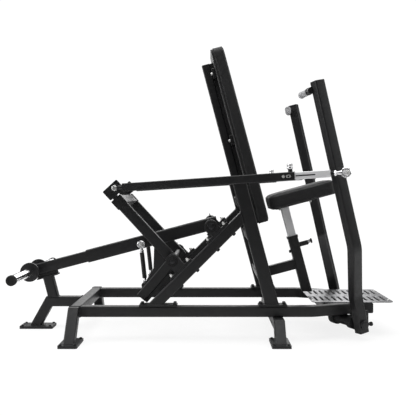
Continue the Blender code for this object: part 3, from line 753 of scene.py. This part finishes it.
def make_bearing_details():
    """Inner rings, seals, grease nipples and the bolts of the four bearing blocks."""
    bolt_reach, base_thick = 0.0625, 0.014
    grease_way = STRUT_NORMAL + STRUT_DIR * 0.7
    rings = Kit.mesh("bearing_rings", "root", "oxide")
    seals = Kit.mesh("bearing_seals", "root", "rubber")
    for name, pivot in (("rocker_bearing", ROCKER_PIVOT), ("arm_bearing", ARM_PIVOT)):
        for label, _ in SIDES:
            node = f"{name}_{label}"
            centre = Vector((pivot.x, box_centre(node).y, pivot.z))
            drop = pivot.dot(STRUT_NORMAL) - spread(node, STRUT_NORMAL)[0]
            for face in (-1, 1):
                add_ring(rings, centre + ACROSS * face * 0.0205, ACROSS, 0.0225, 0.0157, 0.009)
                add_ring(seals, centre + ACROSS * face * 0.0198, ACROSS, 0.0315, 0.0228, 0.003)
            add_round("nipples", "root", "oxide", centre + grease_way.normalized() * 0.038,
                      grease_way, [(0, 0.0042), (0.005, 0.0042), (0.006, 0.0026),
                                   (0.009, 0.0026), (0.011, 0.0036), (0.014, 0.0022)], 12)
            for end in (-1, 1):
                spot = centre + STRUT_DIR * end * bolt_reach
                top = spot - STRUT_NORMAL * (drop - base_thick)
                threaded_end(top, STRUT_NORMAL, 0.0058, 0.017, "root")
                below = spot - STRUT_NORMAL * (drop + TUBE)
                hex_bolt(below, -STRUT_NORMAL, 0.018, 0.0075, "root", "oxide")


def make_bearing_saddles():
    """Flat bars that carry the levers' bearings under the ends of the base rails."""
    size = (0.15, 0.075, 0.008)
    for _, side in SIDES:
        add_plate(Kit.mesh("bearing_saddles", "root", "paint"),
                  Vector((0.852, side * 0.16, 0.119)), X_AXIS, ACROSS, size, 0.003)


def make_flange_bolts():
    """Four bolts through the flange under each strut and upright."""
    flange_top = 0.2005
    for name, shift, reach in (("strut", 0.0005, 0.092), ("upright", 0.0, 0.066)):
        for label, _ in SIDES:
            node = f"{name}_{label}"
            y = box_centre(node).y
            middle = sum(foot_span(node)) / 2 + shift
            for end in (-1, 1):
                for row in (-1, 1):
                    spot = Vector((middle + end * reach, y + row * 0.019, flange_top))
                    hex_bolt(spot, VERTICAL, 0.017, 0.008, "root", "oxide")


def make_foot_bolts():
    """Two pairs of floor bolts in each foot plate."""
    plate_top = 0.016
    spots = []
    for label, side in SIDES:
        for end in ("rear", "front"):
            x = box_centre(f"{end}_leg_{label}").x
            spots += [(x + row * 0.038, y) for y in (side * 0.39, side * 0.56)
                      for row in (-1, 1)]
    low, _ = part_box("rear_stand")
    spots += [(low.x + along, row * 0.046) for along in (0.016, 0.184) for row in (-1, 1)]
    for x, y in spots:
        hex_bolt(Vector((x, y, plate_top)), VERTICAL, 0.013, 0.004, "root", "oxide")


def make_back_bolts():
    """Bolts through the two brackets into the back board, and a flat bar between them."""
    bracket_rear = spread("back_board", FORWARD)[0] - 0.0205
    spine = box_centre("back_spine")
    for z in (1.13, 1.53):
        middle = spine + UP * ((z - spine.z) / UP.z)
        face = at_level(middle, FORWARD, bracket_rear)
        for row in (-1, 1):
            hex_bolt(face + ACROSS * row * 0.08, -FORWARD, 0.016, 0.008, "root")
            hex_bolt(face + ACROSS * row * 0.05, -FORWARD, 0.013, 0.006, "root", "oxide")
    low, high = spread("back_spine", UP)
    bottom, thick = low + 0.15, 0.02
    middle = at_level(spine, FORWARD, bracket_rear + thick / 2)
    middle = at_level(middle, UP, (bottom + high) / 2)
    add_plate(Kit.mesh("spine_strip", "root", "paint"), middle, UP, ACROSS,
              (high - bottom, 0.058, thick), 0.002)


def add_ball(body, centre, axis, face, waist, middle, segments):
    """The ball of a rod end, flat on both sides."""
    profile = [(0, face), (0.004, waist), (0.0105, middle), (0.017, waist), (0.021, face)]
    add_round("balls", body, "satin", centre - axis * 0.0105, axis, profile, segments)


def make_push_rods():
    """Painted rods with a ring on a short neck at each end."""
    lower_radius, upper_radius, eye_width = 0.021, 0.0225, 0.02
    for label, side in SIDES:
        body = f"push_rod_{label}"
        lower = joint_place(f"{body}_swing")
        low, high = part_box(body)
        upper = Vector((low.x + upper_radius, lower.y, high.z - upper_radius))
        along = (upper - lower).normalized()
        span = (upper - lower).length
        rod = turned(f"{body}_fine", lower + along * 0.026, along,
                     [(0, 0.0085), (0.006, 0.0085), (0.007, 0.013), (span - 0.074, 0.013),
                      (span - 0.073, 0.0085), (span - 0.052, 0.0085)], 40)
        place(soften(rod, 0.0006), body, "paint", [body])
        eyes = bmesh.new()
        add_turned(eyes, upper - along * 0.046, along, [(0, 0.0135), (0.012, 0.0135)], 6)
        for centre, radius, way in ((lower, lower_radius, along), (upper, upper_radius, -along)):
            add_ring(eyes, centre, ACROSS, radius, 0.0128, eye_width, 56, 0.0025)
            add_turned(eyes, centre + way * (radius - 0.004), way,
                       [(0, 0.0098), (0.014, 0.0098), (0.016, 0.0078)], 6)
        place(soften(object_from(f"rod_ends_{label}", eyes), 0.0006), body, "chrome")
        for centre in (lower, upper):
            add_ball(body, centre, ACROSS, 0.0085, 0.0118, 0.0127, 32)
            hex_bolt(centre + ACROSS * side * 0.0105, ACROSS * side, 0.015, 0.006, body)


def add_knob(bm, start, axis, radius, length, ribs=18):
    """A ribbed knob."""
    turn = axis.to_track_quat("Z", "Y")
    rings = []
    for along, scale, rib in ((0, 0.8, 0.0), (0.12, 0.97, 0.03), (0.55, 1.0, 0.05),
                              (0.82, 0.93, 0.03), (0.97, 0.66, 0.0), (1.0, 0.4, 0.0)):
        ring = []
        for step, (a, b) in enumerate(circle(ribs * 4)):
            reach = radius * scale * (1 - rib * (1 + cos(pi * step / 2)) / 2)
            ring.append(start + axis * length * along + turn @ Vector((reach * a, reach * b, 0)))
        rings.append(ring)
    add_rings(bm, rings)


def make_pin(node, body, pin, head, neck_length, knob_length, knob_material, skirt=0.0):
    """A sprung pop pin: plated pin and neck under a ribbed knob, which may have a skirt."""
    axis = joint_axis(f"{body}_pull")
    low, high = spread(node, axis)
    start = at_level(box_centre(node), axis, low)
    neck = high - low - knob_length - neck_length
    knob = neck + neck_length
    wide = head * 0.66
    shaft = turned(f"{node}_fine", start, axis,
                   [(0, pin * 0.7), (0.002, pin), (neck, pin), (neck, wide * 0.94),
                    (neck + 0.0015, wide), (neck + neck_length * 0.7, wide),
                    (knob, wide * 0.8), (knob + 0.001, wide * 0.8)], 40)
    place(soften(shaft, 0.0005), body, "chrome", [node])
    bm = bmesh.new()
    knob_start = start + axis * knob
    add_knob(bm, knob_start, axis, head, knob_length)
    if skirt:
        add_ring(bm, knob_start - axis * skirt / 2, axis, head, head - 0.006, skirt + 0.002, 48,
                 0.002)
    place(object_from(f"{node}_knob", bm), body, knob_material)


def make_pins():
    make_pin("seat_pop_pin", "seat_pin", 0.006, 0.016, 0.0155, 0.0095, "plastic")
    for label, side in SIDES:
        make_pin(f"tie_pop_pin_{label}", f"tie_pin_{label}", 0.005, 0.016, 0.004, 0.018,
                 "chrome", 0.012)


def add_collar(name, body, centres, u, v, outer, hole, edge):
    """Moulded square rings round a tube; outer and hole are (width, thickness, corner)."""
    bm = bmesh.new()
    width, thick, corner = outer
    for centre in centres:
        add_plate(bm, centre, u, v, (width, width, thick), corner)
    piece = object_from(name, bm)
    width, thick, corner = hole
    cut(piece, plate_object("collar_cutter", centres[0], u, v, (width, width, thick), corner))
    place(soften(piece, edge), body, "plastic")


def make_tie_bar(label, body, rear, tube_end, bar_end, axes):
    """The plated bar that slides out of the tube, with a slot in its outer face and a black sheet of painted shade
    on the slot's bottom.
    """
    along, across, lift = axes
    bar_start = 0.74
    node = f"tie_rod_bar_{label}"
    bar = plate_object(f"{node}_fine", rear + along * (bar_start + bar_end) / 2, across, lift,
                       (0.039, 0.039, bar_end - bar_start), 0.0045)
    slot_centre = tube_end + along * 0.06 + across * 0.0195
    cut(bar, plate_object("slot_cutter", slot_centre, along, lift, (0.105, 0.0075, 0.01),
                          0.0037))
    place(soften(bar, 0.0009), body, "satin", [node])
    # A thin black sheet on the slot's bottom: painted shade inside the slot.
    add_plate(Kit.mesh("slot_floors", body, "rubber"), slot_centre - across * 0.0045, along,
              lift, (0.104, 0.0072, 0.001), 0.0034)


def make_rod_end(label, body, ball, along, outward):
    """A ring on a threaded neck, with its ball and the bolt to the lever."""
    ring_axis = (outward - along * outward.dot(along)).normalized()
    bm = bmesh.new()
    add_ring(bm, ball, ring_axis, 0.028, 0.0165, 0.018, 64, 0.0035)
    add_turned(bm, ball - along * 0.064, along,
               [(0, 0.01), (0.022, 0.01), (0.028, 0.0125), (0.042, 0.0125)], 32)
    add_turned(bm, ball - along * 0.06, along, [(0, 0.0165), (0.01, 0.0165)], 6)
    add_round("stud_roots", body, "oxide", ball - along * 0.082, along,
              [(0, 0.0135), (0.02, 0.0135)], 32)
    place(soften(object_from(f"rod_end_{label}", bm), 0.0007), body, "chrome")
    add_ball(body, ball, ring_axis, 0.011, 0.015, 0.0163, 40)
    add_round("balls", body, "satin", ball - outward * 0.028, outward,
              [(0, 0.0085), (0.04, 0.0085)], 28)
    hex_bolt(ball + outward * 0.012, outward, 0.02, 0.0085, body)


def make_tube_end(label, body, tube_end, axes):
    """Bolts and a lock plate on the tube's outer face, and a collar round its end."""
    along, across, lift = axes
    face = tube_end + across * 0.023
    hex_bolt(face - along * 0.056, across, 0.013, 0.004, body)
    lock = face - along * 0.029
    add_plate(Kit.mesh("lock_plates", body, "zinc"), lock + across * 0.0012, along, lift,
              (0.027, 0.016, 0.0034), 0.0078)
    hex_bolt(lock + across * 0.002, across, 0.009, 0.0035, body, "oxide", False)
    centres = (tube_end + along * 0.002, tube_end - along * 0.01)
    add_collar(f"tube_collar_{label}", body, centres, across, lift, (0.0468, 0.004, 0.007),
               (0.0396, 0.05, 0.0046), 0.0006)


def make_tie_rods():
    tube_length, stud_length, bolt_past_ball = 1.006, 0.08, 0.023
    for label, side in SIDES:
        body = f"tie_rod_{label}"
        outward = joint_axis(f"lever_{label}_press") * side
        rear = joint_place(f"{body}_swing")
        ball = tip(f"tie_rod_bar_{label}", outward) - outward * bolt_past_ball
        along = (ball - rear).normalized()
        across = (ACROSS - along * ACROSS.dot(along)).normalized() * side
        axes = (along, across, along.cross(across) * side)
        tube_end = rear + along * tube_length
        bar_end = (ball - rear).length - stud_length
        make_tie_bar(label, body, rear, tube_end, bar_end, axes)
        make_rod_end(label, body, ball, along, outward)
        make_tube_end(label, body, tube_end, axes)
        add_round("pivot_caps", body, "zinc", rear + ACROSS * side * 0.012, ACROSS * side,
                  [(-0.001, 0.0165), (0.003, 0.0165), (0.003, 0.0135), (0.0085, 0.0135),
                   (0.0105, 0.0115)])


def make_grips():
    """Light grey sleeves with fine ribs, a black collar at the lever and a flat end cap."""
    for label, side in SIDES:
        node = f"grip_{label}"
        body = f"lever_{label}"
        collar_root = tip(node, ACROSS * side, 0.0065)
        end = tip(node, -ACROSS * side, 0.0065)
        direction = (end - collar_root).normalized()
        sleeve_start = collar_root + direction * 0.02
        length = (end - sleeve_start).length
        collar = turned(f"grip_collar_{label}", collar_root, direction,
                        [(0, 0.02), (0.0175, 0.02), (0.02, 0.019)], 56)
        place(soften(collar, 0.0008), body, "rubber")
        profile = [(-0.004, 0.0175), (0.0, 0.0185)]
        pitch = 0.0034
        place_along = 0.006
        while place_along < length - 0.016:
            profile += [(place_along, 0.0178), (place_along + pitch * 0.3, 0.0187),
                        (place_along + pitch * 0.7, 0.0187)]
            place_along += pitch
        profile += [(length - 0.01, 0.019), (length - 0.0065, 0.02), (length - 0.0015, 0.02),
                    (length, 0.0186), (length, 0.011), (length - 0.001, 0.01),
                    (length - 0.001, 0.002)]
        sleeve = turned(f"grip_sleeve_{label}", sleeve_start, direction, profile, 56)
        place(soften(sleeve, 0.0003), body, "grip", [node])


# Plates, posts and small details

def make_footplate():
    """A silver plate with two rows of long slots, on a dark sheet."""
    low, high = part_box("footplate")
    centre = (low + high) / 2
    size = high - low
    backing = 0.0012
    plate = plate_object("footplate_fine", centre + VERTICAL * backing / 2, X_AXIS, ACROSS,
                         (size.x, size.y, size.z - backing), 0.03)
    sheet = plate_object("footplate_backing", Vector((centre.x, 0, low.z + backing / 2)), X_AXIS,
                         ACROSS, (size.x - 0.001, size.y - 0.001, backing - 0.0001), 0.0295)
    cutters = bmesh.new()
    slot_count, pitch, slot_width = 12, 0.036, 0.015
    slot_inner, slot_outer = 0.045, 0.197
    first = centre.x - pitch * (slot_count - 1) / 2
    for index in range(slot_count):
        for side in (-1, 1):
            spot = Vector((first + pitch * index, side * (slot_inner + slot_outer) / 2, centre.z))
            add_plate(cutters, spot, X_AXIS, ACROSS,
                      (slot_width, slot_outer - slot_inner, 0.02), slot_width / 2 - 0.0001)
    cut(plate, object_from("slot_cutter", cutters))
    place(soften(plate, 0.0006, 50), "root", "plate", ["footplate"])
    place(sheet, "root", "rubber")
    for x in (low.x + 0.011, high.x - 0.014):
        for y in (-0.17, 0.17):
            add_round("screws", "root", "zinc", Vector((x, y, high.z)), VERTICAL,
                      [(-0.001, 0.0065), (0.0005, 0.0065), (0.0028, 0.0042), (0.003, 0.0025),
                       (0.0018, 0.0022)], 28)


def make_seat_post():
    """The plated post with its row of holes, and the plate under the seat."""
    width, plate_thick = 0.05, 0.006
    low, high = spread("seat_post", UP)
    top = high - plate_thick
    pin_low, _ = spread("seat_pop_pin", FORWARD)
    on_axis = at_level(box_centre("seat_pop_pin"), FORWARD, pin_low - 0.001 - width / 2)
    centre = at_level(on_axis, UP, (low + top) / 2)
    post = plate_object("seat_post_fine", centre, FORWARD, ACROSS, (width, width, top - low),
                        0.0045)
    holes = bmesh.new()
    hole_count, hole_pitch = 9, 0.04
    for index in range(hole_count):
        spot = centre + UP * ((index - hole_count / 2) * hole_pitch + 0.04) + FORWARD * 0.018
        add_turned(holes, spot, FORWARD, [(0, 0.0066), (0.02, 0.0066)], 24)
    cut(post, object_from("hole_cutter", holes))
    place(soften(post, 0.0008), "seat", "satin", ["seat_post"])
    rear, front = spread("seat_post", FORWARD)
    middle = at_level(centre, UP, top + plate_thick / 2)
    middle = at_level(middle, FORWARD, (rear + front) / 2)
    plate = plate_object("seat_plate", middle, FORWARD, ACROSS,
                         (front - rear, 0.16, plate_thick), 0.01)
    place(soften(plate, 0.0008), "seat", "paint")
    for a in (-0.095, 0.095):
        for b in (-0.058, 0.058):
            hex_bolt(middle - UP * plate_thick / 2 + FORWARD * a + ACROSS * b, -UP, 0.013,
                     0.006, "seat")


def make_guide_details():
    """A collar round the top of the guide tube and the lock bolt behind it."""
    guide_top = tip("seat_guide_tube", UP)
    add_collar("guide_collar", "root", [guide_top - UP * 0.006], FORWARD, ACROSS,
               (0.0665, 0.014, 0.01), (0.0606, 0.05, 0.0084), 0.0008)
    hex_bolt(guide_top - UP * 0.09 - FORWARD * HALF, -FORWARD, 0.017, 0.009, "root", "oxide")


def make_lever_details():
    """Caps on the lever pivots, and a stop bolt on a bracket in front of each."""
    for label, side in SIDES:
        body = f"lever_{label}"
        axis = joint_axis(f"{body}_press") * side
        pivot = joint_place(f"{body}_press")
        add_round("pivot_caps", body, "plastic", pivot + axis * 0.03, axis,
                  [(0, 0.0235), (0.014, 0.0235), (0.016, 0.0215), (0.016, 0.015),
                   (0.014, 0.014), (0.014, 0.009), (0.0165, 0.008), (0.0165, 0.001)])
        forward = axis.cross(VERTICAL) * side
        bracket = pivot + forward * 0.036 + VERTICAL * 0.036
        add_plate(Kit.mesh("stop_brackets", body, "paint"), bracket, forward, VERTICAL,
                  (0.03, 0.076, 0.01), 0.003)
        stop = pivot + forward * 0.044 - VERTICAL * 0.006
        add_round("stop_bolts", body, "oxide", stop, forward, [(0, 0.0075), (0.024, 0.0075)], 24)
        add_round("stop_tips", body, "rubber", stop + forward * 0.02, forward,
                  [(0, 0.011), (0.01, 0.0125), (0.014, 0.0115)], 28)
        hex_bolt(stop, forward, 0.018, 0.009, body, "oxide")


def make_caps():
    square = (TUBE, TUBE)
    for label, side in SIDES:
        body = f"lever_{label}"
        axis = joint_axis(f"{body}_press") * side
        across = (axis - LEVER_UP * axis.dot(LEVER_UP)).normalized()
        tube_cap(f"lever_cap_{label}", body, LEVER_UP, body, across, square)
    tube_cap("spine_cap", "back_spine", UP, "root", ACROSS, (TUBE, 0.05))
    arm_axis = box_centre("weight_horn_right") - ARM_PIVOT
    arm_axis.y = 0
    tube_cap("arm_tail_cap", "weight_arm", arm_axis.normalized(), "weight_arm", ACROSS,
             (TUBE - 0.002, TUBE))
    for name, way in (("beam_cap_right", -ACROSS), ("beam_cap_left", ACROSS)):
        tube_cap(name, "front_cross_beam", way, "root", VERTICAL, square)


# Welds

RAIL_Y = abs(box_centre("strut_left").y)
STRUT_POINT = ROCKER_PIVOT - STRUT_NORMAL * 0.1036    # on the centre line of the struts


def weld_base(side):
    """Welds of one side's legs, rail, strut and upright at the level of the base."""
    tube = (TUBE, TUBE)
    rear, front = box_centre("rear_cross_tube"), box_centre("front_cross_tube")
    leg_y, leg_z = side * 0.503, 0.016
    rail_y = side * RAIL_Y
    flange_z = rear.z + HALF + 0.01
    strut_x = STRUT_POINT.x + flange_z - STRUT_POINT.z
    for x, y, z, u, v, size in (
            (rear.x, rail_y + side * HALF, rear.z, X_AXIS, VERTICAL, tube),
            (rear.x, leg_y, leg_z, X_AXIS, ACROSS, (TUBE, 0.075)),
            (front.x, leg_y, leg_z, X_AXIS, ACROSS, (TUBE, 0.0782)),
            (rear.x + HALF, rail_y, rear.z, ACROSS, VERTICAL, tube),
            (strut_x, rail_y, flange_z, X_AXIS, ACROSS, (0.0849, TUBE)),
            (0.392, rail_y, flange_z, X_AXIS, ACROSS, (0.0776, TUBE))):
        weld("root", Vector((x, y, z)), u, v, size)


def weld_side(label, side):
    """Welds of one side's strut and cross tubes, and of its rocker arm."""
    tube = (TUBE, TUBE)
    inner = side * (RAIL_Y - HALF)
    for node, y in (("middle_cross_tube", inner), ("lower_cross_tube", inner),
                    (f"upper_cross_tube_{label}", inner),
                    (f"upper_cross_tube_{label}", side * HALF)):
        centre = box_centre(node)
        weld("root", Vector((centre.x, y, centre.z)), UP, FORWARD, tube)
    tilt = STRUT_DIR.dot(FORWARD)
    face = box_centre("middle_cross_tube").dot(FORWARD) - 0.0375
    spot = STRUT_POINT + STRUT_DIR * (face - STRUT_POINT.dot(FORWARD)) / tilt
    weld("root", Vector((spot.x, side * RAIL_Y, spot.z)), UP, ACROSS, (TUBE / tilt, TUBE))
    cross = box_centre("rocker_cross_tube")
    arm = cross - ROCKER_PIVOT
    arm = Vector((arm.x, 0, arm.z)).normalized()
    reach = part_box("rocker_cross_tube")[1].y
    weld("rocker", Vector((cross.x, side * reach, cross.z)), arm, arm.cross(ACROSS), tube)


def make_welds():
    for label, side in SIDES:
        weld_base(side)
        weld_side(label, side)
    rear = box_centre("rear_cross_tube")
    weld("root", Vector((rear.x - HALF, 0, rear.z)), ACROSS, VERTICAL, (TUBE, TUBE))
    weld("root", Vector((-1.015, 0, 0.016)), X_AXIS, ACROSS, (0.0686, TUBE))
    spine_foot = box_centre("middle_cross_tube") + UP * HALF
    weld("root", spine_foot, ACROSS, FORWARD, (TUBE, 0.05))
    for level in spread("seat_brace", FORWARD):
        spot = at_level(box_centre("seat_brace"), FORWARD, level)
        weld("root", spot, UP, ACROSS, (TUBE, 0.05))
    low, high = foot_span("arm_stop_post")
    weld("root", Vector(((low + high) / 2, 0, rear.z + HALF)), X_AXIS, ACROSS,
         (high - low, TUBE))


# Studio

def make_camera():
    data = bpy.data.cameras.new("camera")
    camera = bpy.data.objects.new("camera", data)
    bpy.context.scene.collection.objects.link(camera)
    camera.location = (0.046, -4.12, 0.839)
    camera.rotation_euler = (radians(90), 0, 0)
    data.sensor_width = 36
    data.lens = 58.2
    data.shift_x = -0.0048
    data.shift_y = -0.0433
    bpy.context.scene.camera = camera


def area_light(name, location, target, size, power):
    data = bpy.data.lights.new(name, "AREA")
    data.shape = "RECTANGLE"
    data.size, data.size_y = size
    data.energy = power
    light = bpy.data.objects.new(name, data)
    light.location = location
    aim = Vector(target) - Vector(location)
    light.rotation_euler = aim.to_track_quat("-Z", "Y").to_euler()
    bpy.context.scene.collection.objects.link(light)


def make_studio():
    scene = bpy.context.scene
    scene.view_settings.view_transform = "Standard"
    world = bpy.data.worlds.new("studio")
    world.use_nodes = True
    tree = world.node_tree
    background = tree.nodes["Background"]
    background.inputs["Color"].default_value = (1, 1, 1, 1)
    seen = add_node(tree, "LightPath", {}).outputs["Is Camera Ray"]
    strength = add_node(tree, "MapRange", {"Value": seen, "To Min": 0.13, "To Max": 1.05})
    tree.links.new(strength.outputs["Result"], background.inputs["Strength"])
    scene.world = world
    area_light("top_light", (0.1, -0.4, 3.6), (0, 0, 0), (4.2, 3.4), 125)
    area_light("left_light", (-3.6, -0.6, 1.9), (0, 0, 0.7), (2.4, 2.6), 75)
    area_light("right_light", (3.6, -0.5, 1.9), (0, 0, 0.7), (2.4, 2.6), 42)
    area_light("back_light", (0, 3.6, 2.2), (0, 0, 0.6), (4.0, 2.2), 70)
    bm = bmesh.new()
    add_turned(bm, Vector((0, 0, -0.02)), VERTICAL, [(0, 14.0), (0.0195, 14.0)], 96)
    floor = object_from("floor", bm)
    floor.data.materials.append(MATERIALS["floor"])


make_camera()
make_pads()
make_weight_horns()
make_shafts()
make_bearing_details()
make_bearing_saddles()
make_flange_bolts()
make_foot_bolts()
make_back_bolts()
make_push_rods()
make_pins()
make_tie_rods()
make_grips()
make_footplate()
make_seat_post()
make_guide_details()
make_lever_details()
make_caps()
make_welds()
Kit.finish()
make_studio()
